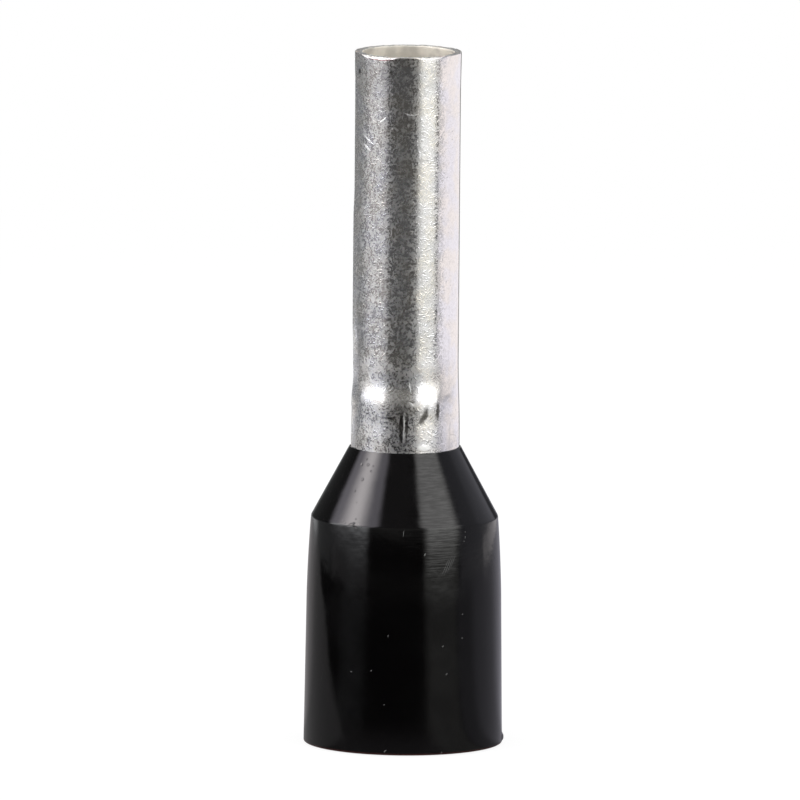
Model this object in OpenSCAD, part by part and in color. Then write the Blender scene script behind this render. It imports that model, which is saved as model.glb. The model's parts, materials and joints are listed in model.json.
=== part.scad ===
// Insulated wire-end ferrule: a drawn, tin-plated copper tube whose flared end
// is held in the cone of a moulded plastic collar.
// The axis is Z. The collar's mouth is at z = 0 and the tube points up.

/* [Contact tube] */
// Length of tube that stands clear of the collar
pin_length = 8; // [5:0.5:20]
// Bore of the straight tube
tube_bore_d = 1.8; // [1.4:0.05:2.1]
// Wall of the drawn tube
tube_wall = 0.16; // [0.1:0.01:0.22]
// Growth of the tube's radius where the collar grips it
swell = 0.033; // [0.01:0.001:0.06]
// Length over which the tube grows from its straight size to its gripped size
swell_length = 1.6; // [0.8:0.1:2.4]
// Length of fully grown tube between the swell and the collar's lip
swell_land = 0.26; // [0.1:0.02:0.6]
// Radius of the bend from the gripped tube into the flare
bend_round = 0.3; // [0.1:0.05:0.4]
// Outer diameter of the flared end
flare_d = 3.1; // [2.8:0.05:3.15]
// Rounding of the tube's cut edges
cut_round = 0.03; // [0.01:0.005:0.045]

/* [Insulating collar] */
// Length of the collar from its mouth to its lip
collar_length = 6; // [4:0.25:12]
// Bore that takes the wire's insulation
insulation_bore_d = 3.5; // [3.4:0.05:4.2]
// Wall of the moulding
collar_wall = 0.25; // [0.16:0.01:0.3]
// Slope of the shoulder cone against the axis
cone_angle = 28.4; // [24:0.2:34]
// Thickness of the lip where the cone ends against the tube
lip_edge = 0.02; // [0.01:0.005:0.06]
// Draft of the skirt against the axis
skirt_draft = 0.75; // [0.25:0.05:1.5]
// Slope of the crowned band below the shoulder
crown_angle = 4.6; // [3:0.2:8]
// Height of the crowned band below the shoulder
crown_height = 0.85; // [0.5:0.05:1.1]
// Rounding of the shoulder's edge
shoulder_round = 0.1; // [0.04:0.01:0.2]
// Rounding of the mouth's outer edge
mouth_round = 0.03; // [0.01:0.01:0.06]
// Rounded lead-in at the mouth's inner edge
lead_in_round = 0.08; // [0.03:0.01:0.09]

/* [Fit] */
// Gap between the tube and the collar's seat
seat_clearance = 0.01; // [0.005:0.005:0.03]

/* [Hidden] */
$fn = 128;

// Bands to each rounded corner
arc_bands = 8;

// Tube: radii of the straight and the gripped stretch
tube_r = tube_bore_d / 2 + tube_wall;
grip_r = tube_r + swell;
tip_z = collar_length + pin_length;
// The swell is an S of two arcs whose corners lie a quarter in from its ends
swell_low_z = collar_length + swell_land + swell_length / 4;
swell_high_z = swell_low_z + swell_length / 2;
swell_slope = atan(swell / (swell_high_z - swell_low_z));
swell_round = swell_length / 4.02 / tan(swell_slope / 2);

// Collar: radii of the seat's throat, the lip and the mouth
throat_r = grip_r + seat_clearance;
lip_r = throat_r + lip_edge;
mouth_r = insulation_bore_d / 2 + collar_wall;
// A sloped wall is the line of points p with p * normal(angle) equal to its reach
cone_reach = [lip_r, collar_length] * normal(cone_angle);
seat_reach = cone_reach - collar_wall;
// The crowned band's lower corner is where skirt, band and cone close up
crown_z = (lip_r - mouth_r + (collar_length - crown_height) * tan(cone_angle)
           + crown_height * tan(crown_angle)) / (tan(cone_angle) - tan(skirt_draft));
crown_r = mouth_r - crown_z * tan(skirt_draft);
crown_reach = [crown_r, crown_z] * normal(crown_angle);
shoulder_z = crown_z + crown_height;
shoulder_r = crown_r - crown_height * tan(crown_angle);
crown_round = 0.94 * crown_height / tan((crown_angle - skirt_draft) / 2);
bore_round = crown_round / 2;

// Outward normal of a wall that leans in by an angle
function normal(angle) = [cos(angle), sin(angle)];

// Height at which a sloped wall of a given reach has radius r
function height_at(r, reach, angle) = (reach - r * cos(angle)) / sin(angle);

// Point where two sloped walls cross
function crossing(reach_a, angle_a, reach_b, angle_b) =
    [reach_a * sin(angle_b) - reach_b * sin(angle_a),
     reach_b * cos(angle_a) - reach_a * cos(angle_b)] / sin(angle_b - angle_a);

function unit(v) = v / norm(v);

// Arc that rounds the corner p between its neighbours a and b
function corner_arc(a, p, b, radius) =
    let (u = unit(a - p),
         v = unit(b - p),
         half = acos(u * v) / 2,
         centre = p + unit(u + v) * radius / sin(half),
         from = p + u * radius / tan(half) - centre,
         turn = (180 - 2 * half) * sign(from[0] * (p - centre)[1] - from[1] * (p - centre)[0]))
    [for (i = [0:arc_bands])
        let (angle = turn * i / arc_bands)
        centre + [from[0] * cos(angle) - from[1] * sin(angle),
                  from[0] * sin(angle) + from[1] * cos(angle)]];

// Outline of straight runs between corners, each given as [point, radius]
function rounded(corners) =
    let (n = len(corners))
    [for (i = [0:n - 1])
        each corner_arc(corners[(i + n - 1) % n][0], corners[i][0],
                        corners[(i + 1) % n][0], corners[i][1])];

// One face of the tube's wall, a depth inside the collar's seat, from flare to rim
function flare_corner(depth, radius) =
    [[radius, height_at(radius, seat_reach - depth, cone_angle)], cut_round];
function bend_corner(depth) =
    [[throat_r - depth, height_at(throat_r - depth, seat_reach - depth, cone_angle)],
     bend_round + depth];

// Drawn tube: straight pin, swell, gripped stretch and flare, all of one wall
module contact_tube() {
    outer = seat_clearance;
    inner = seat_clearance + tube_wall;
    flare_r = flare_d / 2;
    color("#c9c6c1")
    rotate_extrude()
    polygon(rounded([
        flare_corner(outer, flare_r),
        bend_corner(outer),
        [[grip_r, swell_low_z], swell_round],
        [[tube_r, swell_high_z], swell_round],
        [[tube_r, tip_z], cut_round],
        [[tube_r - tube_wall, tip_z], cut_round],
        [[tube_r - tube_wall, swell_high_z], swell_round],
        [[grip_r - tube_wall, swell_low_z], swell_round],
        bend_corner(inner),
        flare_corner(inner, flare_r - tube_wall * cos(cone_angle)),
    ]));
}

// Moulded collar: skirt with a crowned top, shoulder cone, and the seat inside it
module insulating_collar() {
    bore_r = insulation_bore_d / 2;
    inner_reach = crown_reach - collar_wall;
    color("#1b1b1d")
    rotate_extrude()
    polygon(rounded([
        [[bore_r, 0], lead_in_round],
        [[mouth_r, 0], mouth_round],
        [[crown_r, crown_z], crown_round],
        [[shoulder_r, shoulder_z], shoulder_round],
        [[lip_r, collar_length], lip_edge / 3],
        [[throat_r, collar_length], lip_edge / 3],
        bend_corner(0),
        [crossing(inner_reach, crown_angle, seat_reach, cone_angle), shoulder_round],
        [[bore_r, height_at(bore_r, inner_reach, crown_angle)], bore_round],
    ]));
}

contact_tube();
insulating_collar();
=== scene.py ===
import json
import logging
import math
from dataclasses import dataclass
from enum import Enum
from typing import Callable, Sequence

import bmesh
import bpy
from bpy.types import Material, Node, NodeSocket, NodeTree, Object, World
from mathutils import Matrix, Vector, noise


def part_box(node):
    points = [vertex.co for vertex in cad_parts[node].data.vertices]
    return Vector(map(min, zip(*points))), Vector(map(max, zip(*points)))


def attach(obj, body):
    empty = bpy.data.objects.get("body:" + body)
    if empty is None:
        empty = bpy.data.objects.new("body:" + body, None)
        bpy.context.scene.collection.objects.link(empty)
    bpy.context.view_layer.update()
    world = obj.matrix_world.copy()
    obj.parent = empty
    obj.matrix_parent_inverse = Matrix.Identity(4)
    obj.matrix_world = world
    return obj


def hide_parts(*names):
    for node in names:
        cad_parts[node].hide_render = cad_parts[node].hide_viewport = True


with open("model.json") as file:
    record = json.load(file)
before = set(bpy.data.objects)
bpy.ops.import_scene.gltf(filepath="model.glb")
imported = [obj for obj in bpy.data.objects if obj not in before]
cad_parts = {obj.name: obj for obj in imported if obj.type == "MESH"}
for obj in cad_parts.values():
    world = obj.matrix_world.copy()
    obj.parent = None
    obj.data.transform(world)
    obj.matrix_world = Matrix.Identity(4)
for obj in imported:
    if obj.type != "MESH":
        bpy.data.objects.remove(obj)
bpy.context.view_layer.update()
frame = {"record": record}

log = logging.getLogger("ferrule")

MM = 0.001
# In millimetres: how near vertices merge, how near they count as one ring, and the least run that is cut.
MERGED = 1e-5
TOUCHING = 1e-4
LONG_RUN = 0.3
ORIGIN = (0.0, 0.0, 0.0)
WHITE = (1.0, 1.0, 1.0)
TUBE_NODE = "contact_tube"
COLLAR_NODE = "insulating_collar"

Tone = tuple[float, float, float]
Ends = tuple[float, float]
Hump = tuple[float, float, float, float]


class Slot(Enum):
    """Material slots of the record."""

    TIN = "tinned_copper"
    BLACK = "black_collar"


# ---------------------------------------------------------------- turned shapes


@dataclass(frozen=True)
class Corner:
    """One corner of a turned outline, in millimetres.

    The outline's next run starts at this corner. rounding is the radius of the corner's round, and steps the
    segments of that round.
    """

    radius: float
    height: float
    rounding: float
    steps: int

    @property
    def point(self) -> Vector:
        """The corner as a point (radius, height)."""
        return Vector((self.radius, self.height))


@dataclass(frozen=True)
class Slope:
    """A straight run of an outline that leans in by an angle, as the line normal . point = reach."""

    reach: float
    lean: float

    @classmethod
    def through(cls, radius: float, height: float, lean: float) -> "Slope":
        """The slope with this lean that passes through a point."""
        return cls(radius * math.cos(lean) + height * math.sin(lean), lean)

    def inside(self, depth: float) -> "Slope":
        """The same slope, a depth further in."""
        return Slope(self.reach - depth, self.lean)

    def height_at(self, radius: float) -> float:
        """Height at which the slope has this radius."""
        return (self.reach - radius * math.cos(self.lean)) / math.sin(self.lean)

    def crossing(self, other: "Slope") -> Vector:
        """Point (radius, height) where the two slopes cross."""
        turn = math.sin(other.lean - self.lean)
        return Vector((
            (self.reach * math.sin(other.lean) - other.reach * math.sin(self.lean)) / turn,
            (other.reach * math.cos(self.lean) - self.reach * math.cos(other.lean)) / turn,
        ))


def azimuth(co: Vector) -> float:
    """Angle of a point round the axis, in radians: 0 at the front (-Y), positive to the right (+X)."""
    return math.atan2(co.x, -co.y)


def smooth_step(low: float, high: float, value: float) -> float:
    """0 below low, 1 above high, and a smooth change between."""
    t = min(max((value - low) / (high - low), 0.0), 1.0)
    return t * t * (3.0 - 2.0 * t)


def hump(ends: Hump, value: float) -> float:
    """0 outside the outer two ends, 1 between the inner two, and a smooth change between."""
    return smooth_step(*ends[:2], value) * (1 - smooth_step(*ends[2:], value))


def ring_noise(angle: float, scale: float, layer: float) -> float:
    """A noise from -1 to 1 at an angle round the axis, which closes on itself after a turn."""
    return noise.noise(Vector((math.cos(angle) * scale, math.sin(angle) * scale, layer)))


class TurnedBody:
    """A solid of revolution about Z, made from the corners of its closed outline, in millimetres."""

    def __init__(self, corners: Sequence[Corner], sides: int) -> None:
        """Spins the outline and rounds its corners.

        Args:
            corners: the outline's corners in order, each with its round.
            sides: number of sides of the full turn.
        """
        self.mesh = bmesh.new()
        self.sides = sides
        self._spin(corners)
        for index, corner in enumerate(corners):
            before = corners[index - 1].point
            after = corners[(index + 1) % len(corners)].point
            turn = (corner.point - before).angle(after - corner.point)
            self._round(corner, corner.rounding * math.tan(turn / 2))

    def _spin(self, corners: Sequence[Corner]) -> None:
        """Makes the sharp-cornered body: the outline as a wire at the back, spun one full turn."""
        wire = [self.mesh.verts.new((0.0, c.radius, c.height)) for c in corners]
        for index, vert in enumerate(wire):
            self.mesh.edges.new((wire[index - 1], vert))
        bmesh.ops.spin(
            self.mesh, geom=self.mesh.verts[:] + self.mesh.edges[:], cent=(0, 0, 0), axis=(0, 0, 1),
            angle=math.tau, steps=self.sides, use_merge=True,
        )
        bmesh.ops.remove_doubles(self.mesh, verts=self.mesh.verts[:], dist=MERGED)
        bmesh.ops.recalc_face_normals(self.mesh, faces=self.mesh.faces[:])

    def _round(self, corner: Corner, offset: float) -> None:
        """Rounds the ring of edges at one corner.

        Args:
            corner: the corner whose ring is rounded.
            offset: distance from the corner at which its round starts.
        """
        ring = [e for e in self.mesh.edges if all(self._at(v, corner) for v in e.verts)]
        bmesh.ops.bevel(
            self.mesh, geom=ring, offset=offset, offset_type="OFFSET", segments=corner.steps, profile=0.5,
            affect="EDGES", clamp_overlap=False, material=-1,
        )

    @staticmethod
    def _at(vert: bmesh.types.BMVert, corner: Corner) -> bool:
        """True if a vertex lies on the corner's ring."""
        radius = math.hypot(vert.co.x, vert.co.y)
        return abs(radius - corner.radius) < TOUCHING and abs(vert.co.z - corner.height) < TOUCHING

    def split_runs(self, cuts: int, low: float, high: float, least_radius: float, most_radius: float) -> None:
        """Cuts the long runs of one wall into short bands.

        Args:
            cuts: number of cuts across each run.
            low: height below which a run's middle isn't cut.
            high: height above which a run's middle isn't cut.
            least_radius: smallest radius of the wall.
            most_radius: largest radius of the wall.
        """
        runs = []
        for edge in self.mesh.edges:
            middle = (edge.verts[0].co + edge.verts[1].co) / 2
            rise = abs(edge.verts[0].co.z - edge.verts[1].co.z)
            radius = math.hypot(middle.x, middle.y)
            if rise > LONG_RUN and low < middle.z < high and least_radius < radius < most_radius:
                runs.append(edge)
        bmesh.ops.subdivide_edges(self.mesh, edges=runs, cuts=cuts, use_grid_fill=True)

    def shift(self, rule: Callable[[Vector], tuple[float, float]]) -> None:
        """Moves every vertex by a rule.

        Args:
            rule: takes a vertex's place and gives how far it moves outwards and upwards.
        """
        for vert in self.mesh.verts:
            outwards, upwards = rule(vert.co)
            radius = math.hypot(vert.co.x, vert.co.y)
            scale = (radius + outwards) / radius
            vert.co = (vert.co.x * scale, vert.co.y * scale, vert.co.z + upwards)

    def unwrap(self, radius: float) -> None:
        """Adds a UV map in millimetres: u runs round the wall from the back, and v is the height.

        Args:
            radius: radius at which u is true to size.
        """
        layer = self.mesh.loops.layers.uv.new("unwrapped")
        for face in self.mesh.faces:
            angles = [azimuth(loop.vert.co) for loop in face.loops]
            across_seam = max(angles) - min(angles) > math.pi
            for loop, angle in zip(face.loops, angles):
                if across_seam and angle < 0:
                    angle += math.tau
                loop[layer].uv = (angle * radius, loop.vert.co.z)

    @staticmethod
    def _weighted_normal(vert: bmesh.types.BMVert) -> Vector:
        """Normal of a vertex, in which each face counts by its area, so that straight runs shade straight."""
        return sum((face.normal * face.calc_area() for face in vert.link_faces), Vector()).normalized()

    def finish(self, name: str, choose: Callable[[bmesh.types.BMFace], int]) -> Object:
        """Turns the shape into an object in metres.

        Args:
            name: name of the object.
            choose: gives the material's index for each face.

        Returns:
            The new object, linked to the scene.
        """
        for face in self.mesh.faces:
            face.smooth = True
            face.material_index = choose(face)
        normals = [self._weighted_normal(vert) for vert in self.mesh.verts]
        bmesh.ops.scale(self.mesh, vec=(MM, MM, MM), verts=self.mesh.verts[:])
        data = bpy.data.meshes.new(name)
        self.mesh.to_mesh(data)
        self.mesh.free()
        data.normals_split_custom_set_from_vertices(normals)
        made = bpy.data.objects.new(name, data)
        bpy.context.scene.collection.objects.link(made)
        return made


# ---------------------------------------------------------------- shader wiring


class Signal:
    """A value, place, colour or shader in a node tree; arithmetic on it adds the nodes that do it."""

    def __init__(self, wiring: "Wiring", socket: NodeSocket) -> None:
        """Takes the wiring that the signal belongs to, and the socket that gives it."""
        self.wiring = wiring
        self.socket = socket

    def _joined(self, operation: str, first: "Feed", second: "Feed") -> "Signal":
        """Result of a Math node, or of a Vector Math node where this is a place or a colour."""
        kind = "ShaderNodeMath" if self.socket.type == "VALUE" else "ShaderNodeVectorMath"
        return self.wiring.add(kind, {0: first, 1: second}, operation=operation)

    def __add__(self, other: "Feed") -> "Signal":
        """This plus the other."""
        return self._joined("ADD", self, other)

    def __sub__(self, other: "Feed") -> "Signal":
        """This less the other."""
        return self._joined("SUBTRACT", self, other)

    def __rsub__(self, other: "Feed") -> "Signal":
        """The other less this."""
        return self._joined("SUBTRACT", other, self)

    def __mul__(self, other: "Feed") -> "Signal":
        """This times the other."""
        return self._joined("MULTIPLY", self, other)

    def __truediv__(self, other: "Feed") -> "Signal":
        """This divided by the other."""
        return self._joined("DIVIDE", self, other)


Feed = Signal | float | Sequence[float]
Feeds = dict[int | str, Feed]


class Wiring:
    """Adds and joins the nodes of one node tree."""

    def __init__(self, tree: NodeTree) -> None:
        """Takes the node tree that it works on."""
        self.tree = tree

    @classmethod
    def of(cls, owner: Material | World) -> "Wiring":
        """The wiring of a material or a world, which gets an empty tree."""
        owner.use_nodes = True
        owner.node_tree.nodes.clear()
        return cls(owner.node_tree)

    def node(self, kind: str, feeds: Feeds | None = None, **settings: object) -> Node:
        """Adds a node.

        Args:
            kind: the node's type.
            feeds: what each of its inputs gets, a signal or a plain value; a plain colour has three parts.
            settings: its own settings.

        Returns:
            The new node.
        """
        made = self.tree.nodes.new(kind)
        for name, value in settings.items():
            setattr(made, name, value)
        for key, value in (feeds or {}).items():
            target = made.inputs[key]
            if isinstance(value, Signal):
                self.tree.links.new(value.socket, target)
            else:
                target.default_value = (*value, 1.0) if target.type == "RGBA" else value
        return made

    def add(
        self, kind: str, feeds: Feeds | None = None, output: int | str = 0, **settings: object
    ) -> Signal:
        """Adds a node as node() does, and gives one of its outputs."""
        return Signal(self, self.node(kind, feeds, **settings).outputs[output])

    def outputs(self, kind: str, feeds: Feeds | None = None, **settings: object) -> dict[str, Signal]:
        """Adds a node as node() does, and gives its outputs by name."""
        return {socket.name: Signal(self, socket) for socket in self.node(kind, feeds, **settings).outputs}

    def math(self, operation: str, *values: Feed) -> Signal:
        """Result of a Math node on one, two or three values."""
        return self.add("ShaderNodeMath", dict(enumerate(values)), operation=operation)

    def band(self, value: Feed, start: float, end: float, low: float = 0.0, high: float = 1.0) -> Signal:
        """Smooth change from low to high as the value goes from start to end."""
        feeds = {"Value": value, "From Min": start, "From Max": end, "To Min": low, "To Max": high}
        return self.add("ShaderNodeMapRange", feeds, interpolation_type="SMOOTHSTEP")

    def window(self, value: Feed, start: float, end: float, edge: float) -> Signal:
        """1 between start and end, 0 outside them, with soft edges of a width."""
        rise = self.band(value, start - edge / 2, start + edge / 2)
        return rise * self.band(value, end - edge / 2, end + edge / 2, 1.0, 0.0)

    def blend(self, share: Feed, first: Feed, second: Feed) -> Signal:
        """Colour between two colours, by a share from 0 to 1."""
        return self.add("ShaderNodeMix", {0: share, 6: first, 7: second}, output=2, data_type="RGBA")

    def length(self, place: Feed) -> Signal:
        """Length of a vector."""
        return self.add("ShaderNodeVectorMath", {0: place}, output="Value", operation="LENGTH")

    def xyz(self, place: Feed) -> Sequence[Signal]:
        """The three coordinates of a place."""
        return tuple(self.outputs("ShaderNodeSeparateXYZ", {0: place}).values())

    def turned(self, place: Feed, angle: Feed) -> Signal:
        """A place turned about Z."""
        return self.add("ShaderNodeVectorRotate", {"Vector": place, "Angle": angle}, rotation_type="Z_AXIS")

    def noise(self, place: Feed, scale: float, detail: float = 2.0, rough: float = 0.5) -> Signal:
        """Value of a noise texture, from 0 to 1."""
        feeds = {"Vector": place, "Scale": scale, "Detail": detail, "Roughness": rough}
        return self.add("ShaderNodeTexNoise", feeds, output="Fac")

    def shaken(self, place: Signal, scale: float, amount: float) -> Signal:
        """A place on a wall, shaken by a noise, which gives what is drawn there ragged edges."""
        feeds = {"Vector": place, "Scale": scale, "Detail": 1.0}
        wild = self.add("ShaderNodeTexNoise", feeds, output="Color")
        return place + (wild - (0.5, 0.5, 0.5)) * (amount, amount, 0.0)

    def millimetres(self) -> Signal:
        """The place in the object's own coordinates, in millimetres."""
        return self.add("ShaderNodeTexCoord", output="Object") / (MM, MM, MM)

    def unwrapped(self) -> Signal:
        """The place on the unwrapped wall."""
        return self.add("ShaderNodeUVMap", uv_map="unwrapped")

    def azimuth(self, place: Feed) -> Signal:
        """Angle of a place round the axis, in degrees: 0 at the front and positive to the right."""
        x, y, _ = self.xyz(place)
        return self.math("DEGREES", self.math("ARCTAN2", x, y * -1.0))

    def group(self, tree: NodeTree, **feeds: Feed) -> Signal:
        """Mask of a shared group."""
        return self.add("ShaderNodeGroup", feeds, node_tree=tree)

    def bump(self, relief: Feed, distance: float = MM) -> Signal:
        """Normal of a surface with a relief, whose height is counted in a distance in metres."""
        return self.add("ShaderNodeBump", {"Height": relief, "Distance": distance, "Strength": 1.0})

    def glow(self, colour: Feed, strength: float = 1.0) -> Signal:
        """Shader that gives a light."""
        return self.add("ShaderNodeEmission", {"Color": colour, "Strength": strength})

    def mixed(self, share: Feed, first: Signal, second: Signal) -> Signal:
        """Shader between two shaders, by a share from 0 to 1."""
        return self.add("ShaderNodeMixShader", {0: share, 1: first, 2: second})

    def surface(self, shader: Signal) -> None:
        """Ends a material with its shader."""
        self.node("ShaderNodeOutputMaterial", {"Surface": shader})

    def principled(self, feeds: Feeds) -> None:
        """Ends a material with a Principled shader, whose inputs get the feeds."""
        self.surface(self.add("ShaderNodeBsdfPrincipled", feeds))


class Effect:
    """A shader node group under construction, with named inputs and a mask as its output."""

    def __init__(self, name: str, inputs: dict[str, float | Sequence[float]]) -> None:
        """Makes the empty group.

        Args:
            name: name of the group.
            inputs: each input's name and usual value; a value of three numbers makes a vector input.
        """
        self.tree = bpy.data.node_groups.new(name, "ShaderNodeTree")
        for label, usual in inputs.items():
            kind = "NodeSocketFloat" if isinstance(usual, float) else "NodeSocketVector"
            self.tree.interface.new_socket(label, in_out="INPUT", socket_type=kind).default_value = usual
        self.tree.interface.new_socket("Mask", in_out="OUTPUT", socket_type="NodeSocketFloat")
        self.wiring = Wiring(self.tree)
        self.given = self.wiring.outputs("NodeGroupInput")

    def close(self, mask: Signal) -> NodeTree:
        """Joins the mask to the output and gives the finished group."""
        self.wiring.node("NodeGroupOutput", {"Mask": mask})
        return self.tree


def stroke_mask(wiring: Wiring, local: Signal, length: Feed, width: Feed, curl: Feed) -> Signal:
    """Mask of one short curved stroke with pointed ends, which lies along X about the origin.

    Args:
        wiring: the tree to add to.
        local: the point, in the stroke's own coordinates.
        length: the stroke's length.
        width: the stroke's width.
        curl: how strongly the stroke bends.

    Returns:
        1 in the stroke's middle, and 0 outside it.
    """
    x, y, _ = wiring.xyz(local)
    across = (y - x * x * curl) / width
    reach = wiring.length(wiring.add("ShaderNodeCombineXYZ", {0: x / length, 1: across}))
    return wiring.band(reach, 0.2, 0.55, 1.0, 0.0)


def make_flecks() -> NodeTree:
    """Group of short curved strokes that lie in all directions, one to a cell."""
    usual = {"Place": ORIGIN, "Scale": 10.0, "Length": 0.08, "Width": 0.02, "Curl": 12.0}
    effect = Effect("stroke_flecks", usual)
    wiring, given = effect.wiring, effect.given
    feeds = {"Vector": given["Place"], "Scale": given["Scale"]}
    cells = wiring.outputs("ShaderNodeTexVoronoi", feeds, voronoi_dimensions="2D")
    chance = wiring.outputs("ShaderNodeSeparateColor", {0: cells["Color"]})
    turned = wiring.turned(given["Place"] - cells["Position"], chance["Red"] * math.tau)
    length = given["Length"] * (chance["Blue"] + 0.4)
    curl = given["Curl"] * (chance["Green"] - 0.5)
    return effect.close(stroke_mask(wiring, turned, length, given["Width"], curl))


def make_scratch() -> NodeTree:
    """Group of one scratch at a chosen place, angle and size."""
    usual = {"Place": ORIGIN, "Centre": ORIGIN, "Angle": 0.0, "Length": 0.2, "Width": 0.02, "Curl": 0.0}
    effect = Effect("single_scratch", usual)
    wiring, given = effect.wiring, effect.given
    turned = wiring.turned(given["Place"] - given["Centre"], given["Angle"] * -1.0)
    return effect.close(stroke_mask(wiring, turned, given["Length"], given["Width"], given["Curl"]))


def make_specks() -> NodeTree:
    """Group of small round specks, on a share of its cells."""
    effect = Effect("specks", {"Place": ORIGIN, "Scale": 4.0, "Size": 0.02, "Share": 0.2})
    wiring, given = effect.wiring, effect.given
    cells = wiring.outputs("ShaderNodeTexVoronoi", {"Vector": given["Place"], "Scale": given["Scale"]})
    chance = wiring.outputs("ShaderNodeSeparateColor", {0: cells["Color"]})
    away = wiring.length(given["Place"] - cells["Position"])
    size = given["Size"] * (chance["Green"] + 0.4)
    near = wiring.band(away / size, 0.3, 0.6, 1.0, 0.0)
    return effect.close(near * wiring.math("LESS_THAN", chance["Red"], given["Share"]))


@dataclass(frozen=True)
class Mark:
    """One scratch or smudge on a wall, placed in degrees from the front and in millimetres of height."""

    degrees: float
    height: float
    angle: float
    length: float
    width: float
    curl: float = 0.0

    def centre(self, radius: float) -> tuple[float, float, float]:
        """Its centre on the unwrapped wall."""
        return (math.radians(self.degrees) * radius, self.height, 0.0)


@dataclass(frozen=True)
class Effects:
    """The shared node groups."""

    flecks: NodeTree
    scratch: NodeTree
    specks: NodeTree

    @classmethod
    def make(cls) -> "Effects":
        """Makes every group once."""
        return cls(make_flecks(), make_scratch(), make_specks())

    def scattered(self, wiring: Wiring, solid: Feed, scale: float, size: float, share: float) -> Signal:
        """Mask of small specks scattered all over.

        Args:
            wiring: the tree to add to.
            solid: the place in millimetres.
            scale: cells to a millimetre.
            size: the specks' size in millimetres.
            share: the share of the cells that have a speck.

        Returns:
            1 in the middle of a speck, and 0 outside.
        """
        return wiring.group(self.specks, Place=solid, Scale=scale, Size=size, Share=share)

    def marks(self, wiring: Wiring, place: Feed, marks: Sequence[Mark], radius: float) -> Signal:
        """Joint mask of several marks.

        Args:
            wiring: the tree to add to.
            place: the unwrapped place.
            marks: the marks.
            radius: radius of the wall that carries them.

        Returns:
            1 in the middle of any mark, and 0 outside them all.
        """
        total: Feed = 0.0
        for mark in marks:
            one = wiring.group(
                self.scratch, Place=place, Centre=mark.centre(radius), Angle=math.radians(mark.angle),
                Length=mark.length, Width=mark.width, Curl=mark.curl,
            )
            total = wiring.math("MAXIMUM", total, one)
        return total


# ---------------------------------------------------------------- finishes


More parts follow.
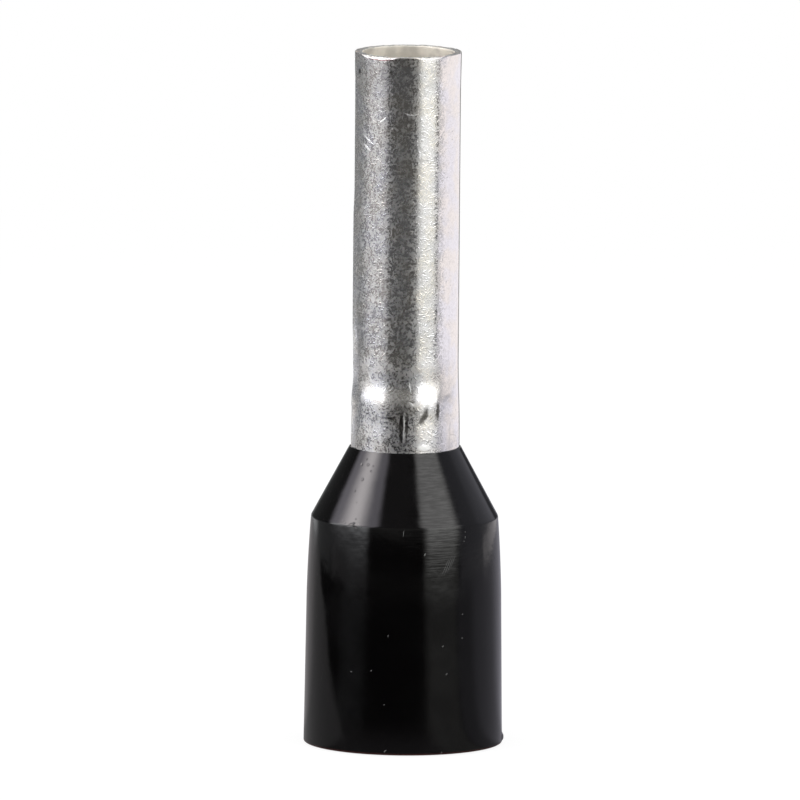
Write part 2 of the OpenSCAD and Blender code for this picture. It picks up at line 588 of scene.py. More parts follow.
@dataclass(frozen=True)
class TinPlating:
    """Barrel-plated tin: fine grain, curved strokes, pits, stains, and a smoother right side and swell
    painted lighter as highlights.

    Fields in _side are ends in degrees from the front, and those in _reach are ends in millimetres above the
    collar. The reliefs are heights in millimetres.
    """

    effects: Effects
    radius: float
    collar_height: float
    warm: Tone = (0.945, 0.91, 0.865)
    cool: Tone = (0.90, 0.90, 0.935)
    dark: Tone = (0.66, 0.65, 0.64)
    stain_tone: Tone = (0.20, 0.19, 0.18)
    dark_mark_tone: Tone = (0.09, 0.085, 0.075)
    bright_mark_tone: Tone = (0.99, 0.99, 0.98)
    copper_tone: Tone = (0.66, 0.34, 0.34)
    smooth_roughness: float = 0.12
    grain_roughness: float = 0.42
    mark_roughness: float = 0.25
    drawn_roughness: float = 0.06
    grain_scale: float = 22.0
    cloud_scale: float = 8.0
    ripple_scale: float = 3.2
    grain_relief: float = 0.0004
    mark_relief: float = 0.002
    stroke_relief: float = 0.0006
    pit_relief: float = 0.002
    ripple_relief: float = 0.004
    # The right side: smoother, and painted lighter as a painted highlight.
    smooth_side: Ends = (41.0, 135.0)
    stained_side: Ends = (-37.0, 8.0)
    filmed_side: Ends = (-28.0, 14.0)
    gripped_reach: Ends = (-0.3, 1.85)
    swell_reach: Ends = (1.05, 1.85)
    # The burnished swell: smoother, and painted lighter as a painted highlight.
    burnished_reach: Ends = (0.95, 1.5)
    stain_fade_reach: Ends = (0.55, 0.85)
    film_rise_reach: Ends = (4.0, 7.8)
    bright_marks: tuple[Mark, ...] = (
        Mark(2.6, 12.84, -8.0, 0.40, 0.030, 1.6),
        Mark(-28.4, 12.72, 40.0, 0.22, 0.04),
        Mark(-48.5, 12.30, -30.0, 0.36, 0.034),
        Mark(-50.2, 12.13, -30.0, 0.28, 0.06),
        Mark(-42.7, 7.49, -63.0, 0.24, 0.030),
        Mark(4.6, 7.33, -80.0, 0.28, 0.036, 1.0),
        Mark(6.2, 7.00, -40.0, 0.18, 0.050),
        Mark(-1.4, 6.56, 90.0, 0.70, 0.020),
        Mark(19.8, 6.10, 0.0, 0.34, 0.15),
    )
    dark_marks: tuple[Mark, ...] = (
        Mark(-18.7, 13.69, 80.0, 0.15, 0.09),
        Mark(-65.7, 13.65, 80.0, 0.16, 0.12),
        Mark(-14.8, 6.70, 8.0, 0.27, 0.09, 1.0),
        Mark(20.4, 6.73, 62.0, 0.50, 0.15, 1.0),
        Mark(36.5, 6.84, 88.0, 0.50, 0.11),
        Mark(-4.6, 6.50, 88.0, 0.9, 0.11),
        Mark(1.4, 6.55, 88.0, 0.7, 0.07),
    )
    copper_marks: tuple[Mark, ...] = (
        Mark(-31.0, 13.94, 0.0, 0.80, 0.035),
    )

    def build(self) -> Material:
        """Makes the material."""
        made = bpy.data.materials.new("tin_plating")
        wiring = Wiring.of(made)
        place, solid = wiring.unwrapped(), wiring.millimetres()
        up, around = wiring.xyz(solid)[2] - self.collar_height, wiring.azimuth(solid)
        grainy = self._graininess(wiring, up, around)
        grain = wiring.band(wiring.noise(solid, self.grain_scale), 0.30, 0.70)
        strokes = self._strokes(wiring, place)
        pits = self.effects.scattered(wiring, solid, 9.0, 0.035, 0.22)
        dark = self.effects.marks(wiring, wiring.shaken(place, 14.0, 0.08), self.dark_marks, self.radius)
        uneven = wiring.shaken(place, 6.0, 0.03)
        bright = self.effects.marks(wiring, uneven, self.bright_marks, self.radius)
        copper = self.effects.marks(wiring, uneven, self.copper_marks, self.radius)

        shade = (grain - 0.5) * 0.7 + wiring.noise(solid, self.cloud_scale) * 1.3 - 0.15
        shade = shade - pits * 0.8 + strokes * 0.6
        shade = wiring.add("ShaderNodeClamp", {0: (shade - 1.0) * grainy + 1.0})
        warmth = wiring.band(wiring.noise(solid, 2.2, 3.0), 0.38, 0.62)
        colour = wiring.blend(shade, self.dark, wiring.blend(warmth, self.cool, self.warm))
        colour = wiring.blend(self._dullness(wiring, solid, up, around), colour, self.stain_tone)
        colour = wiring.blend(dark * 0.9, colour, self.dark_mark_tone)
        colour = wiring.blend(bright, colour, self.bright_mark_tone)
        colour = wiring.blend(copper * 0.6, colour, self.copper_tone)

        drawn = wiring.window(up, *self.gripped_reach, 0.35) + wiring.window(up, *self.swell_reach, 0.35)
        rough = wiring.band(shade, 0.0, 1.0, self.grain_roughness, self.smooth_roughness)
        rough = rough + bright * self.mark_roughness + drawn * self.drawn_roughness * grainy

        relief = grain * self.grain_relief + bright * self.mark_relief + strokes * self.stroke_relief
        relief = (relief - pits * self.pit_relief) * grainy
        relief = relief + wiring.noise(solid, self.ripple_scale) * self.ripple_relief
        wiring.principled(
            {"Base Color": colour, "Roughness": rough, "Metallic": 1.0, "Normal": wiring.bump(relief)}
        )
        return made

    def _graininess(self, wiring: Wiring, up: Feed, around: Feed) -> Signal:
        """How strong the grain is: weaker on the smoother right side and the burnished swell, which paints
        both lighter, as painted highlights.
        """
        # Painted highlight: weaker grain here lightens the colour, besides making the surface smoother.
        side = wiring.window(around, *self.smooth_side, 18.0) * -0.75
        swell = wiring.window(up, *self.burnished_reach, 0.4) * -0.3
        return (side + 1.0) * (swell + 1.0)

    def _strokes(self, wiring: Wiring, place: Signal) -> Signal:
        """Mask of the fine curved strokes, of two sizes."""
        flecks, moved = self.effects.flecks, place + (3.7, 1.3, 0.0)
        fine = wiring.group(flecks, Place=place, Scale=11.0, Length=0.11, Width=0.022, Curl=14.0)
        broad = wiring.group(flecks, Place=moved, Scale=6.0, Length=0.20, Width=0.028, Curl=9.0)
        return wiring.math("MAXIMUM", fine, broad)

    def _dullness(self, wiring: Wiring, solid: Feed, up: Feed, around: Feed) -> Signal:
        """Mask of what dulls the front: ragged stains just above the collar, and a film near the rim."""
        ragged = wiring.band(wiring.noise(solid, 6.0, 4.0, 0.7), 0.50, 0.68)
        low = wiring.band(up, *self.stain_fade_reach, 0.75, 0.0)
        stains = ragged * (low * wiring.window(around, *self.stained_side, 15.0))
        high = wiring.band(up, *self.film_rise_reach, 0.0, 0.30)
        return wiring.math("MAXIMUM", stains, high * wiring.window(around, *self.filmed_side, 12.0))


@dataclass(frozen=True)
class DullBore:
    """The tube's bore: unpolished, dull tin, its warm tone partly painted light from above, its back wall
    painted shade.
    """

    # Partly painted light: this warm tone stands in for the warm light that falls in from above.
    tone: Tone = (0.80, 0.76, 0.68)
    cloud_shade: float = 0.74
    roughness: float = 0.6
    metal: float = 0.35
    relief_height: float = 0.002

    def build(self) -> Material:
        """Makes the material."""
        made = bpy.data.materials.new("dull_bore")
        wiring = Wiring.of(made)
        solid = wiring.millimetres()
        side = wiring.math("ABSOLUTE", wiring.azimuth(solid))
        # Painted shade: the noise is scaled down towards the back of the bore, so the back wall takes more of
        # the darker tone.
        cloud_and_back_shade = wiring.noise(solid, 3.2, 3.0) * wiring.band(side, 140.0, 168.0, 1.15, 0.85)
        cloud_and_shade_tone = [self.cloud_shade * part for part in self.tone]
        wiring.principled({
            "Base Color": wiring.blend(wiring.band(cloud_and_back_shade, 0.35, 0.65), cloud_and_shade_tone, self.tone),
            "Roughness": self.roughness,
            "Metallic": self.metal,
            "Normal": wiring.bump(wiring.noise(solid, 22.0), MM * self.relief_height),
        })
        return made


@dataclass(frozen=True)
class CutEdge:
    """The tube's cut rim: torn grey metal with bright burrs and a trace of the copper under the tin, painted
    lighter at front and back.
    """

    light: Tone = (0.78, 0.79, 0.75)
    dark: Tone = (0.27, 0.27, 0.28)
    copper: Tone = (0.60, 0.38, 0.31)
    roughness: float = 0.36
    relief_height: float = 0.012

    def build(self) -> Material:
        """Makes the material."""
        made = bpy.data.materials.new("cut_edge")
        wiring = Wiring.of(made)
        solid = wiring.millimetres()
        torn = wiring.noise(solid, 15.0, 3.0, 0.7)
        # Painted light: the rim's colour is shifted lighter at the front and back and darker at the sides.
        painted_light_facing = wiring.math("ABSOLUTE", wiring.xyz(solid)[1])
        shade = torn + wiring.band(painted_light_facing, 0.3, 0.9, -0.09, 0.01)
        colour = wiring.blend(wiring.band(shade, 0.38, 0.60), self.dark, self.light)
        reddish = wiring.band(wiring.noise(solid, 2.5), 0.54, 0.70, 0.0, 0.45)
        wiring.principled({
            "Base Color": wiring.blend(reddish, colour, self.copper),
            "Roughness": self.roughness,
            "Metallic": 1.0,
            "Normal": wiring.bump(torn, MM * self.relief_height),
        })
        return made


@dataclass(frozen=True)
class BlackMoulding:
    """Glossy black moulded plastic, with turned lines on its cone, smudges, scratches, pits and dust.

    Fields in _side are ends in degrees from the front, and the reliefs are heights in millimetres.
    """

    effects: Effects
    radius: float
    crown_height: float
    tone: Tone = (0.0010, 0.0008, 0.0009)
    dust_tone: Tone = (0.12, 0.125, 0.12)
    mouth_tone: Tone = (0.045, 0.014, 0.012)
    roughness: float = 0.10
    gloss: float = 0.5
    line_relief: float = 0.0008
    smudge_relief: float = 0.004
    dent_relief: float = 0.010
    pit_relief: float = 0.005
    dust_relief: float = 0.003
    lined_side: Ends = (0.0, 42.0)
    pitted_side: Ends = (-44.0, -28.0)
    dents: tuple[Mark, ...] = (
        Mark(-34.6, 4.62, 24.0, 0.20, 0.06),
        Mark(-31.8, 4.58, -20.0, 0.12, 0.04),
    )
    scratches: tuple[Mark, ...] = (
        Mark(27.2, 3.82, 64.0, 0.46, 0.018),
        Mark(25.6, 3.80, 62.0, 0.42, 0.016),
        Mark(28.8, 3.84, 66.0, 0.38, 0.018),
        Mark(30.4, 3.88, 64.0, 0.30, 0.016),
        Mark(-28.5, 4.61, -30.0, 0.14, 0.025),
    )
    dust: tuple[Mark, ...] = (
        Mark(12.4, 4.06, 50.0, 0.07, 0.034),
        Mark(-0.5, 4.49, 80.0, 0.16, 0.011),
        Mark(39.8, 4.36, 80.0, 0.05, 0.020),
        Mark(40.2, 4.47, 0.0, 0.03, 0.020),
        Mark(39.0, 4.28, 60.0, 0.03, 0.018),
        Mark(37.0, 2.82, 0.0, 0.035, 0.022),
        Mark(36.6, 2.34, 30.0, 0.035, 0.022),
        Mark(23.6, 2.20, 30.0, 0.045, 0.022),
        Mark(26.0, 1.63, 35.0, 0.06, 0.022),
        Mark(-31.9, 1.65, 0.0, 0.045, 0.020),
        Mark(-10.2, 0.08, 50.0, 0.08, 0.024),
        Mark(23.0, 0.04, 80.0, 0.05, 0.020),
        Mark(-11.0, 1.02, 50.0, 0.04, 0.014),
        Mark(-9.0, 2.42, 80.0, 0.05, 0.012),
        Mark(-19.0, 1.70, 40.0, 0.05, 0.012),
    )

    def build(self) -> Material:
        """Makes the material."""
        made = bpy.data.materials.new("black_moulding")
        wiring = Wiring.of(made)
        place, solid = wiring.unwrapped(), wiring.millimetres()
        height, around = wiring.xyz(solid)[2], wiring.azimuth(solid)

        ragged = wiring.shaken(place, 20.0, 0.03)
        dust = self.effects.marks(wiring, ragged, self.dust, self.radius)
        scratches = self.effects.marks(wiring, place, self.scratches, self.radius)
        dents = self.effects.marks(wiring, ragged, self.dents, self.radius)
        loose = self.effects.scattered(wiring, solid, 2.4, 0.018, 0.12)
        pale = wiring.math("MAXIMUM", dust, loose * 0.4)
        pale = wiring.math("MAXIMUM", pale, scratches * 0.25)
        colour = wiring.blend(pale, self.tone, self.dust_tone)
        colour = wiring.blend(wiring.band(height, 0.015, 0.05, 1.0, 0.0), colour, self.mouth_tone)

        smudge = wiring.noise(solid, 1.3, 3.0, 0.6)
        rough = wiring.band(smudge, 0.35, 0.65, self.roughness - 0.02, self.roughness + 0.04)
        lines = self._turned_lines(wiring, place, height, around)
        pits = self._pits(wiring, solid, height, around)
        relief = lines * self.line_relief + smudge * self.smudge_relief
        relief = relief - dents * self.dent_relief - pits * self.pit_relief + pale * self.dust_relief
        wiring.principled({
            "Base Color": colour,
            "Roughness": rough + pale * 0.4,
            "IOR": 1.5,
            "Specular IOR Level": self.gloss - wiring.band(lines, 0.35, 0.62) * 0.14,
            "Normal": wiring.bump(relief),
        })
        return made

    def _turned_lines(self, wiring: Wiring, place: Signal, height: Feed, around: Feed) -> Signal:
        """The fine lines that the turned mould leaves on the cone, deepest on the right front."""
        lines = wiring.noise(place * (2.4, 27.0, 1.0), 1.0, 3.0, 0.6)
        high = wiring.band(height, self.crown_height - 0.3, self.crown_height + 0.1, 0.05, 1.0)
        deep = wiring.window(around, *self.lined_side, 14.0) * 0.75 + 0.25
        return lines * (high * deep)

    def _pits(self, wiring: Wiring, solid: Feed, height: Feed, around: Feed) -> Signal:
        """Mask of the small pits on the left front of the cone."""
        pits = self.effects.scattered(wiring, solid, 9.0, 0.05, 0.5)
        on_cone = wiring.band(height, self.crown_height + 0.8, self.crown_height + 0.9)
        return pits * (wiring.window(around, *self.pitted_side, 4.0) * on_cone)


# ---------------------------------------------------------------- the ferrule


@dataclass(frozen=True)
class FerruleSizes:
    """Sizes of the ferrule, in millimetres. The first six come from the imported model."""

    height: float
    collar_length: float
    mouth_radius: float
    pin_radius: float
    wire_radius: float
    insulation_radius: float
    swell: float = 0.033
    clearance: float = 0.01
    lip_edge: float = 0.02
    cone_lean: float = math.radians(28.4)

    @classmethod
    def read(cls) -> "FerruleSizes":
        """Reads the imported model's boxes and mounts."""
        reach = {mount["name"]: mount["dims"].get("r_mm") for mount in frame["record"]["mounts"]}
        collar_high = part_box(COLLAR_NODE)[1] / MM
        return cls(
            height=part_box(TUBE_NODE)[1].z / MM,
            collar_length=collar_high.z,
            mouth_radius=max(collar_high.x, collar_high.y),
            pin_radius=reach["contact_pin"],
            wire_radius=reach["conductor_bore"],
            insulation_radius=reach["insulation_bore"],
        )

    @property
    def tube_wall(self) -> float:
        """Wall of the tube."""
        return self.pin_radius - self.wire_radius

    @property
    def collar_wall(self) -> float:
        """Wall of the collar."""
        return self.mouth_radius - self.insulation_radius

    @property
    def grip_radius(self) -> float:
        """Radius of the tube where the collar grips it."""
        return self.pin_radius + self.swell

    @property
    def throat_radius(self) -> float:
        """Radius of the collar's throat."""
        return self.grip_radius + self.clearance

    @property
    def cone(self) -> Slope:
        """Outside of the collar's cone."""
        return Slope.through(self.throat_radius + self.lip_edge, self.collar_length, self.cone_lean)

    @property
    def seat(self) -> Slope:
        """Inside of the collar's cone, on which the tube's flare sits."""
        return self.cone.inside(self.collar_wall)


class Piece:
    """What the two pieces share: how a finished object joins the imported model."""

    @staticmethod
    def place(made: Object, node: str, slot: Slot, materials: Sequence[Material]) -> None:
        """Dresses a finished object and puts it in its CAD node's place.

        Args:
            made: the finished object.
            node: the CAD node it stands for.
            slot: the record's slot; it is not used.
            materials: its materials, in the order of its faces' numbers.
        """
        for material in materials:
            made.data.materials.append(material)
        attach(made, "root")
        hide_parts(node)


@dataclass
class ContactTube(Piece):
    """The drawn tube: a straight pin with a worn cut rim, a gentle swell, and a flare inside the collar.

    Fields in _side are in degrees from the front, and lengths are in millimetres. Each of the swell's rounds
    starts one part in swell_parts of the swell's length from its corner.
    """

    sizes: FerruleSizes
    sides: int = 256
    straight_from: float = 8.0
    outer_cuts: int = 110
    inner_cuts: int = 20
    swell_length: float = 1.6
    swell_land: float = 0.26
    swell_parts: float = 4.02
    bend_round: float = 0.3
    flare_radius: float = 1.55
    cut_round: float = 0.03
    rim_round: float = 0.10
    rim_drop: float = 0.55
    bell: float = 0.012
    bell_length: float = 1.2
    bulge: float = 0.017
    bulge_side: Hump = (-150, -110, -75, -35)
    bulge_reach: Hump = (7.8, 8.6, 10.6, 11.2)
    ring: float = 0.0098
    ring_height: float = 7.18
    ring_length: float = 0.98
    ring_fade_side: Ends = (36, 44)
    worn_left_side: Hump = (-66, -50, -20, -9)
    worn_right_side: Hump = (6, 16, 34, 52)
    left_wear: float = 0.78
    right_wear: float = 0.55
    ragged_wear: float = 0.28
    usual_wear: float = 0.10
    least_wear: float = 0.03
    torn_depth: float = 0.05
    torn_rise: float = 0.011
    cut_flatness: float = 0.93

    def outline(self) -> list[Corner]:
        """Corners of the wall's outline, from the flare up the outside and down the bore."""
        s = self.sizes
        outer, inner = s.seat.inside(s.clearance), s.seat.inside(s.clearance + s.tube_wall)
        low = s.collar_length + self.swell_land + self.swell_length / 4
        high = low + self.swell_length / 2
        slope = math.atan(s.swell / (high - low))
        swell_round = self.swell_length / self.swell_parts / math.tan(slope / 2)
        flare_in = self.flare_radius - s.tube_wall * math.cos(s.cone_lean)
        neck = s.grip_radius - s.tube_wall
        return [
            Corner(self.flare_radius, outer.height_at(self.flare_radius), self.cut_round, 4),
            Corner(s.grip_radius, outer.height_at(s.grip_radius), self.bend_round, 8),
            Corner(s.grip_radius, low, swell_round, 12),
            Corner(s.pin_radius, high, swell_round, 12),
            Corner(s.pin_radius, s.height, self.rim_round, 6),
            Corner(s.wire_radius, s.height, self.cut_round, 4),
            Corner(s.wire_radius, high, swell_round, 4),
            Corner(neck, low, swell_round, 4),
            Corner(neck, inner.height_at(neck), self.bend_round + s.tube_wall, 6),
            Corner(flare_in, inner.height_at(flare_in), self.cut_round, 4),
        ]

    def rim_wear(self, angle: float) -> float:
        """How far the rim's outer edge is worn round at an angle, from 0 to 1."""
        degrees = math.degrees(angle)
        left = self.left_wear * hump(self.worn_left_side, degrees)
        right = self.right_wear * hump(self.worn_right_side, degrees)
        wear = self.usual_wear + left + right + self.ragged_wear * ring_noise(angle, 5.0, 2.0)
        return min(max(wear, self.least_wear), 1.0)

    def wall_shift(self, co: Vector) -> tuple[float, float]:
        """How far a point of the drawn wall moves outwards and upwards from the true shape."""
        s, angle, radius = self.sizes, azimuth(co), math.hypot(co.x, co.y)
        degrees = math.degrees(angle)
        outwards = self.bell * smooth_step(s.height - self.bell_length, s.height, co.z) ** 2
        outwards += self.bulge * hump(self.bulge_side, degrees) * hump(self.bulge_reach, co.z)
        from_ring = (co.z - self.ring_height) / self.ring_length
        if abs(from_ring) < 1:
            swing = math.sin(math.tau * from_ring) * math.cos(math.pi / 2 * from_ring) ** 2
            outwards -= self.ring * swing * (1 - smooth_step(*self.ring_fade_side, degrees))
        upwards = 0.0
        rounded = self.rim_round + TOUCHING
        if co.z > s.height - rounded and radius > s.pin_radius - rounded:
            wear = self.rim_wear(angle)
            outwards += (s.pin_radius - radius) * (1 - wear)
            upwards += (s.height - co.z) * (1 - self.rim_drop * wear)
        if co.z > s.height - self.torn_depth:
            upwards += self.torn_rise * ring_noise(angle, 9.0, radius * 6.0)
        return outwards, upwards

    def build(
        self, plating: Material, bore: Material, edge: Material
    ) -> Object:
        """Builds and dresses the tube.

        Args:
            plating: finish of the outside.
            bore: finish of the inside.
            edge: finish of the cut rim.

        Returns:
            The finished object.
        """
        s = self.sizes
        body = TurnedBody(self.outline(), self.sides)
        middle = (s.pin_radius + s.wire_radius) / 2
        body.split_runs(self.outer_cuts, self.straight_from, s.height, middle, s.mouth_radius)
        body.split_runs(self.inner_cuts, self.straight_from, s.height, 0.0, middle)
        body.shift(self.wall_shift)
        body.mesh.normal_update()
        body.unwrap(s.pin_radius)

        def choose(face: bmesh.types.BMFace) -> int:
            """Finish of a face: 0 plating, 1 bore, 2 cut rim."""
            centre = face.calc_center_median()
            if face.normal.z > self.cut_flatness and centre.z > s.height - self.rim_round:
                return 2
            return 1 if face.normal.x * centre.x + face.normal.y * centre.y < 0 else 0

        made = body.finish("tinned_tube", choose)
        self.place(made, TUBE_NODE, Slot.TIN, (plating, bore, edge))
        return made


@dataclass
class InsulatingCollar(Piece):
    """The moulded collar: a drafted skirt with a crowned band, a shoulder cone and the seat inside it.

    crown_share is the share of the crowned band that its round takes up.
    """

    sizes: FerruleSizes
    sides: int = 256
    skirt_cuts: int = 90
    skirt_draft: float = math.radians(0.75)
    crown_lean: float = math.radians(4.6)
    crown_height: float = 0.85
    crown_share: float = 0.94
    shoulder_round: float = 0.1
    mouth_round: float = 0.03
    lead_in_round: float = 0.08
    bend_round: float = 0.3
    nub: float = 0.032
    nub_side: Hump = (82, 88, 90, 96)
    nub_reach: Hump = (0.04, 0.07, 0.13, 0.21)

    @property
    def crown_z(self) -> float:
        """Height of the lower edge of the crowned band, at which skirt, band and cone close up."""
        s = self.sizes
        rise = (s.collar_length - self.crown_height) * math.tan(s.cone_lean)
        lip = s.throat_radius + s.lip_edge
        total = lip - s.mouth_radius + rise + self.crown_height * math.tan(self.crown_lean)
        return total / (math.tan(s.cone_lean) - math.tan(self.skirt_draft))

    def outline(self) -> list[Corner]:
        """Corners of the wall's outline, from the mouth up the outside and down the bore."""
        s, crown_z = self.sizes, self.crown_z
        crown_r = s.mouth_radius - crown_z * math.tan(self.skirt_draft)
        band = Slope.through(crown_r, crown_z, self.crown_lean).inside(s.collar_wall)
        shoulder_r = crown_r - self.crown_height * math.tan(self.crown_lean)
        turn = self.crown_lean - self.skirt_draft
        crown_round = self.crown_share * self.crown_height / math.tan(turn / 2)
        inner = band.crossing(s.seat)
        return [
            Corner(s.insulation_radius, 0.0, self.lead_in_round, 5),
            Corner(s.mouth_radius, 0.0, self.mouth_round, 4),
            Corner(crown_r, crown_z, crown_round, 16),
            Corner(shoulder_r, crown_z + self.crown_height, self.shoulder_round, 8),
            Corner(s.throat_radius + s.lip_edge, s.collar_length, s.lip_edge / 3, 2),
            Corner(s.throat_radius, s.collar_length, s.lip_edge / 3, 2),
            Corner(s.throat_radius, s.seat.height_at(s.throat_radius), self.bend_round, 8),
            Corner(inner.x, inner.y, self.shoulder_round, 4),
            Corner(s.insulation_radius, band.height_at(s.insulation_radius), crown_round / 2, 8),
        ]

    def wall_shift(self, co: Vector) -> tuple[float, float]:
        """How far a point moves outwards for the nub of flash at the right of the mouth, and upwards."""
        if math.hypot(co.x, co.y) < self.sizes.mouth_radius - self.sizes.collar_wall / 2:
            return 0.0, 0.0
        side = hump(self.nub_side, math.degrees(azimuth(co)))
        return self.nub * side * hump(self.nub_reach, co.z), 0.0

    def build(self, moulding: Material) -> Object:
        """Builds and dresses the collar.

        Args:
            moulding: finish of the plastic.

        Returns:
            The finished object.
        """
        s = self.sizes
        body = TurnedBody(self.outline(), self.sides)
        middle = (s.mouth_radius + s.insulation_radius) / 2
        body.split_runs(self.skirt_cuts, 0.0, self.crown_z, middle, s.mouth_radius + 1)
        body.shift(self.wall_shift)
        body.mesh.normal_update()
        body.unwrap(s.mouth_radius)
        made = body.finish("moulded_collar", lambda face: 0)
        self.place(made, COLLAR_NODE, Slot.BLACK, (moulding,))
        return made


# ---------------------------------------------------------------- the studio


@dataclass(frozen=True)
class Panel:
    """One panel of what metal and gloss show of the studio.

    azimuths are the panel's ends in degrees. spans are its ends in degrees of elevation on the dome, and in
    millimetres from the axis on the floor card. edge and edge_up are the widths of its soft edges.
    """

    azimuths: Ends
    spans: Ends
    tone: Tone
    strength: float
    edge: float = 4.0
    edge_up: float = 2.0

    @property
    def light(self) -> Tone:
        """The light that it gives."""
        return tuple(self.strength * part for part in self.tone)

    def share(self, wiring: Wiring, around: Feed, along: Feed) -> Signal:
        """Share of the panel in the light from one place.

        Args:
            wiring: the tree to add to.
            around: the place's azimuth in degrees.
            along: the place's elevation or its distance from the axis.

        Returns:
            1 inside the panel, 0 outside it, and a smooth change along its edge.
        """
        across = wiring.window(around, *self.azimuths, self.edge)
        return across * wiring.window(along, *self.spans, self.edge_up)


@dataclass(frozen=True)
class Lamp:
    """One square soft lamp, which points at the origin. Its place and size are in metres."""

    name: str
    place: tuple[float, float, float]
    size: float
    power: float


@dataclass
class Studio:
    """A plain pale floor, a white world, soft lamps, the panels that the metal shows, and the camera.

    Lengths are in millimetres, and clip is in metres.
    """

    camera_distance: float = 537.0
    camera_height: float = 83.0
    aim_height: float = 6.93
    aim_side: float = -0.111
    roll: float = math.radians(0.47)
    lens: float = 1213.5
    clip: Ends = (0.05, 5.0)
    soft_light: float = 0.5
    floor_tone: Tone = (0.85, 0.85, 0.85)
    shadow_tone: Tone = (0.16, 0.16, 0.16)
    shadow_glow: float = 0.88
    shadow_fade: Ends = (20.0, 80.0)
    dome_radius: float = 2000.0
    floor_radius: float = 300.0
    floor_drop: float = 0.02
    card_radius: float = 60.0
    card_drop: float = 0.01
    card_reach: float = 43.0
    card_edge: float = 3.0
    dark: Tone = (0.014, 0.014, 0.015)
    panels: tuple[Panel, ...] = (
        Panel((-42, 24), (-91, -4), (1.0, 0.98, 0.95), 0.097, 8),
        Panel((-44, 26), (0.2, 20), (1.0, 1.0, 0.97), 0.25, 8),
        Panel((-48, 20), (20, 66), (1.0, 0.98, 1.0), 0.13, 10),
        Panel((-181, -98), (-91, 2), (0.96, 0.98, 1.0), 0.22, 16),
        Panel((-181, -112), (2, 91), (0.98, 1.0, 1.0), 0.08, 16),
        Panel((-98, -44), (-91, -3.8), (1.0, 0.97, 1.0), 0.33, 8),
        Panel((-100, -70), (-3.8, 0.0), (0.94, 0.95, 1.0), 0.13, 8),
        Panel((-72, -46), (-3.8, 0.0), (0.95, 0.95, 1.0), 0.22, 8),
        Panel((24, 64), (-5.4, -2.4), (1.0, 1.0, 0.96), 0.42, 8),
        Panel((24, 64), (-91, -4.8), (1.0, 1.0, 0.94), 0.90, 5),
        Panel((73, 181), (-91, -4.8), (1.0, 0.955, 0.985), 0.97, 5),
        Panel((70, 181), (-4.8, 91), (0.89, 0.89, 1.0), 0.34, 8),
        Panel((161, 181), (-91, -4.8), (1.0, 0.96, 0.9), 0.12, 5),
        Panel((-104, -46), (-0.6, 20), (0.96, 0.97, 1.0), 3.0, 10, 3),
        Panel((-112, -40), (20, 64), (0.94, 0.90, 1.0), 2.0, 12),
        Panel((-91, -64), (20, 64), (1.0, 0.95, 0.96), 8.2, 26, 4),
        Panel((28, 66), (-3.1, -0.8), (1.0, 1.0, 0.97), 1.65, 12, 1.6),
        Panel((27, 71), (-0.7, 20), (1.0, 1.0, 0.98), 3.2, 12, 2.4),
        Panel((25, 78), (20, 64), (1.0, 0.99, 0.98), 2.8, 12),
        Panel((-181, 181), (70, 91), (1.0, 0.98, 0.94), 1.6, 4, 8),
        Panel((120, 181), (38, 91), (1.0, 0.98, 0.94), 1.6, 16, 8),
        Panel((-181, -120), (38, 91), (1.0, 0.98, 0.94), 1.6, 16, 8),
        Panel((108, 149), (5, 27), (0.89, 0.89, 1.0), 0.46, 12, 5),
        Panel((150, 174), (-1, 11), (0.90, 0.89, 1.0), 0.08, 5, 3),
        Panel((166, 181), (3, 24), (1.0, 1.0, 0.98), 0.55, 6, 3),
        Panel((-181, -166), (3, 24), (1.0, 1.0, 0.98), 0.55, 6, 3),
    )
    card_panels: tuple[Panel, ...] = (
        Panel((-76, -44), (-1, 99), (0.92, 0.97, 1.0), 0.08, 16),
        Panel((-122, -84), (39, 99), (0.96, 0.98, 1.0), 0.12, 10, 4),
        Panel((26, 64), (-1, 99), (1.0, 1.0, 0.97), 0.21, 12),
        Panel((64, 181), (-1, 99), (0.92, 0.91, 1.0), 0.20, 8),
        Panel((86, 181), (-1, 99), (0.91, 0.89, 1.0), 0.33, 16),
        Panel((130, 181), (-1, 99), (0.90, 0.88, 1.0), 0.48, 24),
    )
    card_grey: Panel = Panel((-99, -14), (-1, 99), (1.0, 0.98, 1.0), 0.27, 5)
    card_grey_twist: float = 29.0
    card_back: Panel = Panel((-181, -130), (-1, 99), (1.0, 0.96, 0.98), 0.42, 20)
    card_near: Panel = Panel((-60, 30), (-5, 5), (1.0, 0.95, 1.0), 0.13, 12, 6)
    card_wings: tuple[Panel, ...] = (
        Panel((-44, 24), (43, 56), (1.0, 0.99, 0.96), 0.07, 8, 4),
        Panel((24, 68), (42, 55), (1.0, 1.0, 0.95), 0.32, 5, 4),
        Panel((108, 158), (41.5, 99), (1.0, 0.955, 0.985), 0.97, 6, 2),
        Panel((-181, -130), (43, 58), (0.97, 0.98, 1.0), 0.95, 14, 4),
    )
    lamps: tuple[Lamp, ...] = (
        Lamp("left_lamp", (-0.35, -0.15, 0.20), 0.30, 0.55),
        Lamp("right_lamp", (0.30, -0.25, 0.20), 0.30, 0.55),
        Lamp("top_lamp", (0.0, -0.05, 0.45), 0.40, 0.9),
    )

    def build_camera(self) -> None:
        """Makes the camera, a little above the mouth's plane and far off."""
        data = bpy.data.cameras.new("camera")
        data.lens = self.lens
        data.clip_start, data.clip_end = self.clip
        camera = bpy.data.objects.new("camera", data)
        bpy.context.scene.collection.objects.link(camera)
        place = Vector((self.aim_side, -self.camera_distance, self.camera_height)) * MM
        aim = Vector((self.aim_side, 0.0, self.aim_height)) * MM
        camera.location = place
        turn = (aim - place).to_track_quat("-Z", "Y").to_matrix() @ Matrix.Rotation(self.roll, 3, "Z")
        camera.rotation_euler = turn.to_euler()
        bpy.context.scene.camera = camera

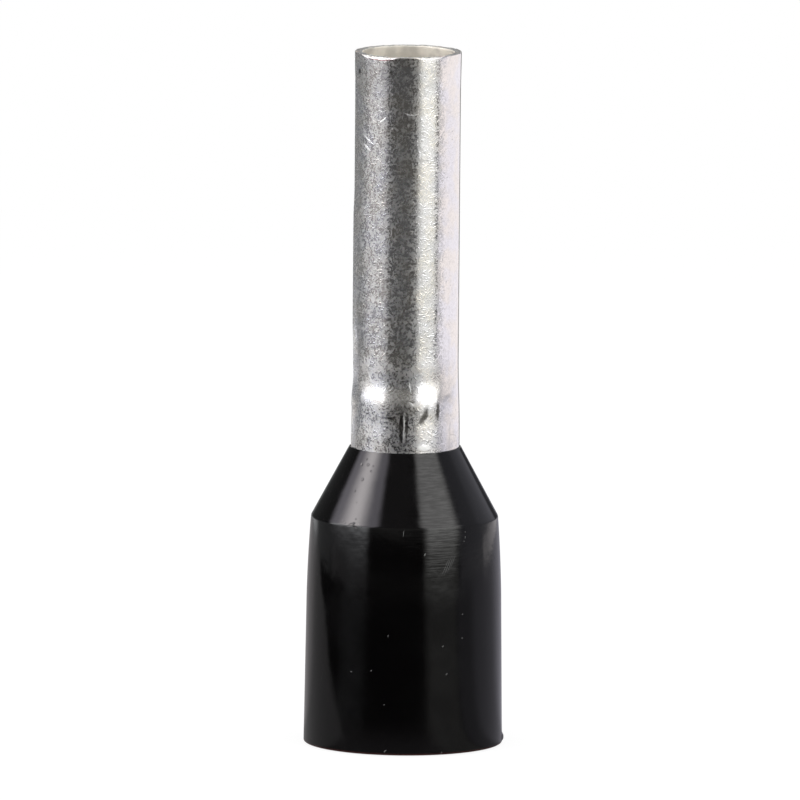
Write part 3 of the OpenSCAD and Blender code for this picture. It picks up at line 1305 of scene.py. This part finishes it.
    @staticmethod
    def seen(wiring: Wiring) -> Signal:
        """1 for rays from the camera, a reflection or glass, which see the plain white."""
        rays = wiring.outputs("ShaderNodeLightPath")
        either = wiring.math("MAXIMUM", rays["Is Camera Ray"], rays["Is Glossy Ray"])
        return wiring.math("MAXIMUM", either, rays["Is Transmission Ray"])

    def build_world(self) -> None:
        """Makes the world: plain white where it is seen, and a plain soft light on the object."""
        world = bpy.data.worlds.new("white_world")
        wiring = Wiring.of(world)
        white = wiring.add("ShaderNodeBackground", {"Color": WHITE, "Strength": 1.0})
        soft = wiring.add("ShaderNodeBackground", {"Color": WHITE, "Strength": self.soft_light})
        wiring.node("ShaderNodeOutputWorld", {"Surface": wiring.mixed(self.seen(wiring), soft, white)})
        bpy.context.scene.world = world

    def build_floor(self) -> None:
        """Makes the pale floor, which shows white and keeps the object's faint shadow."""
        floor = self._stage_object("floor", self._disc(self.floor_radius), -self.floor_drop)
        floor.visible_glossy = False
        made = bpy.data.materials.new("pale_floor")
        floor.data.materials.append(made)
        wiring = Wiring.of(made)
        far = wiring.band(wiring.length(wiring.millimetres()), *self.shadow_fade)
        lit = wiring.add("ShaderNodeBsdfDiffuse", {"Color": self.floor_tone})
        faint = wiring.add("ShaderNodeBsdfDiffuse", {"Color": self.shadow_tone})
        near = wiring.add("ShaderNodeAddShader", {0: faint, 1: wiring.glow(WHITE, self.shadow_glow)})
        shown = wiring.mixed(far, near, wiring.glow(WHITE))
        wiring.surface(wiring.mixed(self.seen(wiring), lit, shown))

    def build_dome(self) -> None:
        """Makes the dome with the studio's light and dark panels."""
        mesh = bmesh.new()
        bmesh.ops.create_uvsphere(mesh, u_segments=96, v_segments=48, radius=self.dome_radius * MM)
        wiring = self._reflected("studio_dome", mesh, 0.0)
        place = wiring.millimetres()
        steepness = wiring.xyz(place)[2] / wiring.length(place)
        up = wiring.math("DEGREES", wiring.math("ARCSINE", steepness))
        colour = self._painted(wiring, self.dark, self.panels, wiring.azimuth(place), up)
        wiring.surface(wiring.glow(colour))

    def build_card(self) -> None:
        """Makes the dark card under the ferrule, with its light zones, which the skirt shows."""
        wiring = self._reflected("floor_card", self._disc(self.card_radius), -self.card_drop)
        place = wiring.millimetres()
        away, around = wiring.length(place), wiring.azimuth(place)
        twisted = around + wiring.math("LOGARITHM", away, math.e) * self.card_grey_twist
        colour = self._painted(wiring, self.dark, self.card_panels, around, away)
        colour = self._painted(wiring, colour, (self.card_grey,), twisted, away)
        colour = self._painted(wiring, colour, (self.card_back, self.card_near), around, away)
        cover = wiring.band(away, self.card_reach - self.card_edge, self.card_reach, 1.0, 0.0)
        for wing in self.card_wings:
            share = wing.share(wiring, around, away)
            colour = wiring.blend(share, colour, wing.light)
            cover = wiring.math("MAXIMUM", cover, share)
        wiring.surface(wiring.mixed(cover, wiring.add("ShaderNodeBsdfTransparent"), wiring.glow(colour)))

    @staticmethod
    def _painted(wiring: Wiring, colour: Feed, panels: Sequence[Panel], around: Feed, along: Feed) -> Feed:
        """The colour with panels painted over it, each one over the ones before."""
        for panel in panels:
            colour = wiring.blend(panel.share(wiring, around, along), colour, panel.light)
        return colour

    @staticmethod
    def _disc(radius: float) -> bmesh.types.BMesh:
        """A flat disc with a radius in millimetres."""
        mesh = bmesh.new()
        bmesh.ops.create_circle(mesh, cap_ends=True, segments=64, radius=radius * MM)
        return mesh

    @staticmethod
    def _stage_object(name: str, mesh: bmesh.types.BMesh, height: float) -> Object:
        """Turns a mesh into an object of the stage, at a height in millimetres."""
        bmesh.ops.translate(mesh, vec=(0, 0, height * MM), verts=mesh.verts[:])
        data = bpy.data.meshes.new(name)
        mesh.to_mesh(data)
        mesh.free()
        made = bpy.data.objects.new(name, data)
        bpy.context.scene.collection.objects.link(made)
        return made

    def _reflected(self, name: str, mesh: bmesh.types.BMesh, height: float) -> Wiring:
        """Makes an object of the stage that only metal and gloss show, with an empty material.

        Args:
            name: name of the object and of its material.
            mesh: its shape.
            height: how high it is, in millimetres.

        Returns:
            The wiring of its material.
        """
        made = self._stage_object(name, mesh, height)
        made.visible_camera = made.visible_diffuse = made.visible_transmission = made.visible_shadow = False
        material = bpy.data.materials.new(name)
        material.cycles.emission_sampling = "NONE"
        made.data.materials.append(material)
        return Wiring.of(material)

    def build_lamps(self) -> None:
        """Makes the soft lamps, which neither the camera nor a reflection shows."""
        for lamp in self.lamps:
            data = bpy.data.lights.new(lamp.name, "AREA")
            data.shape, data.size, data.energy = "SQUARE", lamp.size, lamp.power
            made = bpy.data.objects.new(lamp.name, data)
            bpy.context.scene.collection.objects.link(made)
            made.location = lamp.place
            made.rotation_euler = (-Vector(lamp.place)).to_track_quat("-Z", "Y").to_euler()
            made.visible_glossy = False
            made.visible_camera = False

    def build(self) -> None:
        """Builds the whole studio."""
        self.build_camera()
        self.build_world()
        self.build_floor()
        self.build_dome()
        self.build_card()
        self.build_lamps()
        bpy.context.scene.view_settings.view_transform = "Standard"


def report(made: Object) -> None:
    """Logs a finished piece's name, face count and height."""
    log.info("%s: %d faces, %.2f mm high", made.name, len(made.data.polygons), made.dimensions.z / MM)


def main() -> None:
    """Builds the ferrule and its studio in order."""
    logging.basicConfig(level=logging.INFO, format="%(name)s: %(message)s")
    sizes = FerruleSizes.read()
    effects = Effects.make()
    plating = TinPlating(effects, sizes.pin_radius, sizes.collar_length).build()
    tube = ContactTube(sizes).build(plating, DullBore().build(), CutEdge().build())
    report(tube)
    collar = InsulatingCollar(sizes)
    moulding = BlackMoulding(effects, sizes.mouth_radius, collar.crown_z).build()
    report(collar.build(moulding))
    Studio().build()


if __name__ == "__main__":
    main()
